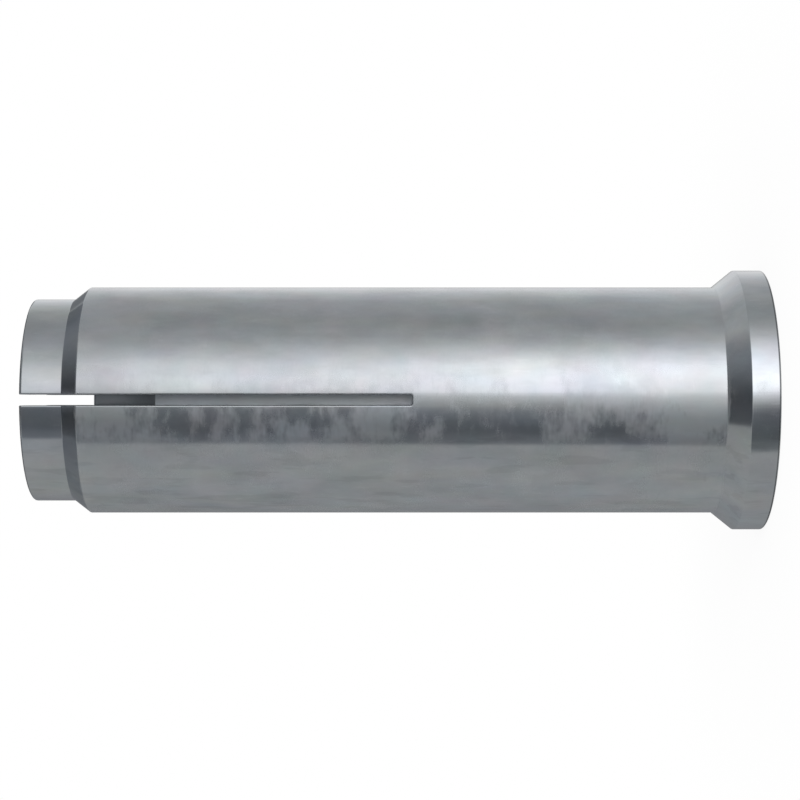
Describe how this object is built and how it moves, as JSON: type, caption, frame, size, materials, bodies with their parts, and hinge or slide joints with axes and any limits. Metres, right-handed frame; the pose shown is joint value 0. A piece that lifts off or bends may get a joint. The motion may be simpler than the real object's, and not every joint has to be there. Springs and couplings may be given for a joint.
{
  "type": "drop in anchor",
  "caption": "Rimmed steel drop-in anchor: a sleeve threaded from the rim end and slit into expansion legs at the other, with a wedge plug waiting inside.",
  "frame": {"origin": "centre of the rim's flat face, at the mouth of the thread", "axes": "+Z along the anchor's axis, from the rim to the slit end; +X and +Y each run through a slot"},
  "size_m": [0.0286, 0.0286, 0.08],
  "materials": {
    "sleeve_zinc": "bright zinc plate over turned steel, satin, softly clouded",
    "plug_zinc": "zinc plate over turned steel, satin"
  },
  "bodies": {
    "root": {"anchor_sleeve": "sleeve_zinc", "expander_plug": "plug_zinc"}
  },
  "joints": []
}
